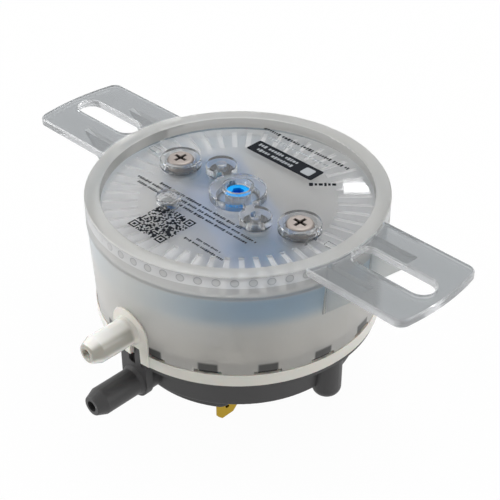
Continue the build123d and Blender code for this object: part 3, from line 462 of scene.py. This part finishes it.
def screw_metal(name, centre_x, centre_y, top):
    """Plated screw: pale warm metal with turned rings, and painted shade, near black, in the recess and
    down the shank.
    """
    plating = (0.29, 0.255, 0.235)
    recess_shade = (0.02, 0.017, 0.014)
    material, g, sockets = new_material(name)
    place = g.group(PLACE)
    grain = g.group(GRAIN, tone_spread=0.06)
    away = away_from(g, place["Along"], place["Across"], centre_x, centre_y)
    rings = g.math("SINE", g.math("MULTIPLY", away, 42.0))
    # Painted shade: the head's recess and the shank below it are coloured near black.
    shaded_recess = g.both(g.step(place["Level"], top - 0.2, top - 0.5), g.step(away, 2.3, 2.1))
    join(g, sockets, base_color=toned(g, g.mix(shaded_recess, plating, recess_shade), grain["Tone"]),
         roughness=g.math("ADD", 0.45, grain["Rough Shift"], clamp=True), metallic=0.7,
         normal=bump(g, g.math("ADD", g.math("MULTIPLY", rings, 0.3), grain["Height"]), 0.000008))
    return material


def blue_screw():
    """Bright blue plastic of the calibration screw, with painted shade making it darker in its socket."""
    bright_blue = (0.0, 0.38, 0.95)
    socket_shade_blue = (0.0, 0.17, 0.78)
    material, g, sockets = new_material("blue_screw_plastic")
    place = g.group(PLACE)
    grain = g.group(GRAIN, tone_spread=0.05)
    # Painted shade: the socket inside the screw's head is coloured a darker blue.
    shaded_recess = g.both(g.step(place["Level"], -1.7, -2.6), g.step(place["Radius"], 1.6, 1.5))
    join(g, sockets, base_color=toned(g, g.mix(shaded_recess, bright_blue, socket_shade_blue), grain["Tone"]),
         roughness=g.math("ADD", 0.3, grain["Rough Shift"], clamp=True), specular_ior_level=0.12,
         normal=bump(g, grain["Height"], 0.000006))
    return material


def dress_frame():
    """Give every CAD node the material that its real piece has."""
    steel = plain_finish("bright_steel", (0.62, 0.62, 0.63), 0.28, metallic=1.0, stretch=0.2)
    brass = plain_finish("stamped_brass", (0.4, 0.26, 0.012), 0.34, metallic=1.0, stretch=0.15)
    black = plain_finish("switch_plastic", (0.03, 0.03, 0.032), 0.45)
    natural = plain_finish("natural_plastic", (0.82, 0.8, 0.72), 0.4)
    rubber = plain_finish("diaphragm_rubber", (0.2, 0.2, 0.19), 0.6, relief=0.00003)
    seal = plain_finish("seal_rubber", (0.02, 0.02, 0.02), 0.5)
    blue = plain_finish("blue_plastic", (0.005, 0.16, 0.46), 0.35)
    plate = plain_finish("plate_aluminium", (0.77, 0.78, 0.79), 0.35, metallic=1.0)
    silver = plain_finish("contact_silver", (0.85, 0.85, 0.84), 0.25, metallic=1.0)
    finishes = {
        "lower_housing": charcoal_plastic(), "spring_carrier": blue, "calibration_screw": blue_screw(),
        "calibration_seal": seal, "spring_nut": brass, "range_spring": steel, "diaphragm": rubber,
        "diaphragm_plate": plate, "pusher": natural, "plate_retainer": steel, "switch_body": black,
        "switch_cover": black, "switch_plunger": natural, "snap_blade": brass, "moving_contact": silver,
        "contact_lower": silver, "contact_upper": silver, "terminal_common": brass, "terminal_open": brass,
        "terminal_closed": brass, "switch_screw_left": steel, "switch_screw_right": steel,
    }
    for node in ("carrier_screw_left", "carrier_screw_right"):
        low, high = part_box(node)
        middle = (low + high) / 2 / MM
        finishes[node] = screw_metal(node + "_metal", middle.x, middle.y, high.z / MM)
    for node, material in finishes.items():
        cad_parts[node].data.materials.clear()
        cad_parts[node].data.materials.append(material)


def dress_upper_housing():
    """Clear top and ears, frosted wall and natural ring and port, each on its own slot, chosen by the middle
    of each face."""
    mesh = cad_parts["upper_housing"].data
    mesh.materials.clear()
    for material in (clear_plastic("clear_edge", 0.74), frosted_wall(), natural_cream(),
                     clear_plastic("clear_face", 0.95), clear_plastic("clear_under", 0.8),
                     clear_plastic("clear_ribs", 0.28)):
        mesh.materials.append(material)
    middle = np.empty(3 * len(mesh.polygons), np.float32)
    mesh.polygons.foreach_get("center", middle)
    x, y, z = middle.reshape(-1, 3).T / MM
    radius = np.hypot(x, y)
    slots = np.where((z > collar_foot_z - 0.05) | (radius > rim_radius + 0.1) & (np.abs(y) < 14), 0, 1)
    ring = (z < ring_top_z + 0.01) & (radius > wall_foot_radius - 0.5)
    fall = (collar_foot_z - z) / (collar_foot_z - ring_top_z)
    proud = radius - wall_top_radius + fall * (wall_top_radius - wall_foot_radius)
    plate = (proud > 0.1) & (np.abs(x) < arch_radius + 0.1) & (y < 0) & (z < collar_foot_z)
    bore = (np.hypot(x, z - upper_port_z) < 1.5) & (y < -30)
    slots = np.where(ring | plate | bore, 2, slots)
    inside = (slots == 0) & (radius < rim_inner_radius - 0.1)
    ribs = inside & (z < plate_under_z - 0.2) & (radius > rib_zone_inner) & (radius < rib_zone_outer)
    slots = np.where(inside, np.where(z < recess_z - 0.4, 4, 3), slots)
    slots = np.where(ribs, 5, slots).astype(np.int32)
    mesh.polygons.foreach_set("material_index", slots)
    mesh.update()


def mesh_piece(name, vertices, faces, material, body):
    """Object from arrays of vertices and faces, riding on a CAD body."""
    mesh = bpy.data.meshes.new(name)
    mesh.from_pydata(vertices.reshape(-1, 3).tolist(), [], faces)
    mesh.update()
    mesh.materials.append(material)
    piece = bpy.data.objects.new(name, mesh)
    bpy.context.scene.collection.objects.link(piece)
    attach(piece, body)
    return piece


def ink_blocks(name, blocks, base, material, turn=0.0, pivot=(0.0, 0.0), corner=0.3):
    """Thin rounded blocks of ink. Each block is (x, y, half length, half height) in millimetres: its outline
    is twelve points, three on a quarter circle at each corner, set at the foot and at the top, for all blocks
    at once."""
    x, y, half_x, half_y = np.array(blocks, float).T[..., None]
    quarter = np.radians(np.array([0, 45, 90]))
    angles = (quarter[None] + np.radians([0, 90, 180, 270])[:, None]).ravel()
    signs = np.repeat(np.array([[1, 1], [-1, 1], [-1, -1], [1, -1]]), 3, 0).T
    soft = corner * np.minimum(half_x, half_y)
    px = x + signs[0] * (half_x - soft) + soft * np.cos(angles)
    py = y + signs[1] * (half_y - soft) + soft * np.sin(angles)
    cos, sin = math.cos(turn), math.sin(turn)
    rx = pivot[0] + (px - pivot[0]) * cos - (py - pivot[1]) * sin
    ry = pivot[1] + (px - pivot[0]) * sin + (py - pivot[1]) * cos
    levels = np.array([base, base + ink_thickness])
    count, points = px.shape
    grid = np.empty((count, 2, points, 3))
    grid[..., 0] = rx[:, None]
    grid[..., 1] = ry[:, None]
    grid[..., 2] = levels[None, :, None]
    first = np.arange(count)[:, None] * 2 * points
    around = np.arange(points)
    after = np.roll(around, -1)
    sides = np.stack([around, after, after + points, around + points], -1)
    sides = (first[..., None] + sides[None]).reshape(-1, 4).tolist()
    tops = (first + points + around).tolist()
    feet = (first + around[::-1]).tolist()
    return mesh_piece(name, grid * MM, sides + tops + feet, material, "housing")


def word_row(random, start, end, y, height):
    """Row of plain upright blocks with gaps like those between words, as (x, y, half length, half height)."""
    blocks = []
    x = start
    while x < end - height * 0.3:
        letters = int(random.integers(3, 9))
        for _ in range(letters):
            wide = height * random.uniform(0.3, 0.62)
            tall = height * random.choice([0.3, 0.3, 0.42])
            if x + wide > end:
                break
            blocks.append((x + wide / 2, y, wide / 2, tall))
            x += wide + height * 0.2
        x += height * 0.45
    return blocks


def code_block(random, left, foot, side, cells):
    """Square block of random cells with a plain solid square in three corners."""
    pitch = side / cells
    dark = random.random((cells, cells)) < 0.5
    corner = 6
    near = slice(None, corner + 1)
    far = slice(-corner - 1, None)
    for rows, columns in ((near, near), (near, far), (far, far)):
        dark[rows, columns] = False
    row, column = np.nonzero(dark)
    half = pitch / 2
    blocks = [(left + (c + 0.5) * pitch, foot + (r + 0.5) * pitch, half, half) for r, c in zip(row, column)]
    wide = corner * pitch / 2
    for far_x, far_y in ((0, 0), (1, 0), (1, 1)):
        middle_x = left + wide + far_x * (side - 2 * wide)
        middle_y = foot + wide + far_y * (side - 2 * wide)
        blocks.append((middle_x, middle_y, pitch, pitch))
        for sign in (-1, 1):
            blocks.append((middle_x, middle_y + sign * (wide - half), wide, half))
            blocks.append((middle_x + sign * (wide - half), middle_y, half, wide))
    return blocks


def print_face():
    """Generic print on the recess: a black bar with pale blocks, rows of blocks and a block of cells."""
    random = np.random.default_rng(5)
    dark = plain_finish("ink_black", ink_dark, 0.7, tone=0.2, shine=0.03)
    pale = plain_finish("ink_pale", ink_pale, 0.6, tone=0.1, shine=0.1)
    base = recess_z + ink_lift
    # Each row is (start, end, y, height)
    row_places = (
        (-17.6, 11.7, 27.35, 1.3), (-17.1, 10.6, -9.15, 1.0), (-23.3, 16.7, -10.8, 1.0),
        (-21.5, 15.6, -12.4, 1.0), (6.0, 14.0, -19.0, 0.75), (3.7, 16.5, -20.6, 0.85),
    )
    rows = []
    for start, end, y, height in row_places:
        rows += word_row(random, start, end, y, height)
    ink_blocks("ink_rows", rows, base, dark)
    ink_blocks("ink_soft_row", word_row(random, -13.7, 6.9, 24.7, 1.3), base, pale)
    ink_blocks("ink_unit", word_row(random, 8.6, 15.6, 15.4, 1.7), base, dark, math.radians(44), (8.6, 15.4))
    ink_blocks("ink_bar", [(-3.2, 19.45, 10.9, 2.55)], base, dark, corner=0.2)
    bar_rows = word_row(random, -12.8, 0.9, 20.5, 1.35) + word_row(random, -11.6, 0.9, 18.5, 1.35)
    bar_rows += [(4.6, 19.45, 1.5, 1.5)]
    ink_blocks("ink_bar_blocks", bar_rows, base + ink_thickness, pale)
    ink_blocks("ink_code", code_block(random, -9.7, -26.0, 11.2, 29), base, dark, corner=0.05)


def camera_axes():
    """Unit vectors to the camera's right, up, and back from its aim."""
    azimuth = math.radians(camera_azimuth)
    elevation = math.radians(camera_elevation)
    back = Vector((math.sin(azimuth) * math.cos(elevation), -math.cos(azimuth) * math.cos(elevation),
                   math.sin(elevation)))
    right = Vector((math.cos(azimuth), math.sin(azimuth), 0))
    return right, back.cross(right), back


def add_camera():
    """Camera that looks at its aim from an azimuth and an elevation, with a slight roll."""
    right, up, back = camera_axes()
    level = Matrix((right, up, back)).transposed()
    roll = Matrix.Rotation(math.radians(camera_roll), 3, "Z")
    place = Vector(camera_aim) * MM + back * (camera_distance * MM)
    camera = bpy.data.cameras.new("camera")
    camera.sensor_width = sensor_width
    camera.lens = sensor_width * focal_length_pixels / photo_width_pixels
    camera.clip_start = 0.01
    holder = bpy.data.objects.new("camera", camera)
    holder.matrix_world = Matrix.Translation(place) @ (level @ roll).to_4x4()
    bpy.context.scene.collection.objects.link(holder)
    bpy.context.scene.camera = holder


def add_floor():
    """Pale floor under the lowest piece: it keeps a share of its own shading and shows white for the rest."""
    drop = 0.4 * MM
    half = 3.0
    level = cad_box[0][2] - drop
    corners = [(-half, -half, level), (half, -half, level), (half, half, level), (-half, half, level)]
    mesh = bpy.data.meshes.new("floor")
    mesh.from_pydata(corners, [], [(0, 1, 2, 3)])
    floor = bpy.data.objects.new("floor", mesh)
    bpy.context.scene.collection.objects.link(floor)
    material, g, sockets = new_material("floor")
    grain = g.group(GRAIN, fine=60.0, broad=4.0, tone_spread=0.01)
    join(g, sockets, base_color=toned(g, (0.8, 0.8, 0.8), grain["Tone"]), roughness=0.9)
    path = g.add("LightPath").outputs
    seen = g.math("MAXIMUM", path["Is Camera Ray"],
                  g.math("MAXIMUM", path["Is Glossy Ray"], path["Is Transmission Ray"]))
    white = g.add("Emission", {"Color": (1, 1, 1, 1), "Strength": 1.0}).outputs[0]
    shader = next(n for n in material.node_tree.nodes if n.type == "BSDF_PRINCIPLED")
    output = next(n for n in material.node_tree.nodes if n.type == "OUTPUT_MATERIAL")
    mixed = g.add("MixShader", {0: g.math("MULTIPLY", seen, 0.97), 1: shader.outputs[0], 2: white})
    material.node_tree.links.new(mixed.outputs[0], output.inputs["Surface"])
    mesh.materials.append(material)


def add_world():
    """White room: full strength where it is looked at, reflected or seen through plastic, weaker as light."""
    world = bpy.data.worlds.new("room")
    world.use_nodes = True
    world.node_tree.nodes.clear()
    g = Graph(world.node_tree)
    path = g.add("LightPath").outputs
    seen = g.math("MAXIMUM", path["Is Camera Ray"],
                  g.math("MAXIMUM", path["Is Glossy Ray"], path["Is Transmission Ray"]))
    strength = g.blend(seen, 0.33, 1.0)
    background = g.add("Background", {"Color": (1, 1, 1, 1), "Strength": strength})
    g.add("OutputWorld", {"Surface": background.outputs[0]})
    bpy.context.scene.world = world


def add_light(name, place, aim, size, power):
    """Square soft light at a place, turned to its aim."""
    light = bpy.data.lights.new(name, "AREA")
    light.size = size
    light.energy = power
    holder = bpy.data.objects.new(name, light)
    holder.location = place
    holder.rotation_euler = (Vector(aim) - Vector(place)).to_track_quat("-Z", "Y").to_euler()
    bpy.context.scene.collection.objects.link(holder)


def add_softbox():
    """Small bright panel and a thin line over it, which the polished recess mirrors to the camera. Each corner
    lies on the ray from the camera's mirror image below the recess through the corner's place on the recess."""
    eye = np.array(Vector(camera_aim) + camera_axes()[2] * camera_distance)
    eye[2] = 2 * recess_z - eye[2]
    image = np.array([(x, y, recess_z) for x, y in panel_image + line_image])
    ray = image - eye
    corners = image + softbox_distance * ray / np.linalg.norm(ray, axis=1, keepdims=True)
    mesh = bpy.data.meshes.new("softbox")
    mesh.from_pydata((corners * MM).tolist(), [], [(0, 1, 2, 3), (4, 5, 6, 7)])
    softbox = bpy.data.objects.new("softbox", mesh)
    bpy.context.scene.collection.objects.link(softbox)
    material, _, sockets = new_material("softbox")
    sockets["Emission Color"].default_value = (1, 1, 1, 1)
    sockets["Emission Strength"].default_value = softbox_strength
    mesh.materials.append(material)


def add_lights():
    add_light("overhead_softbox", (-0.1, 0.3, 0.9), (0, 0, 0), 0.8, 6.5)
    add_light("left_fill", (-0.75, -0.6, 0.35), (0, 0, -0.02), 0.5, 5.6)
    add_light("right_fill", (0.75, 0.45, 0.3), (0, 0, -0.02), 0.4, 1.8)


dress_frame()
dress_upper_housing()
print_face()
add_camera()
add_floor()
add_world()
add_lights()
add_softbox()
bpy.context.scene.view_settings.view_transform = "Standard"
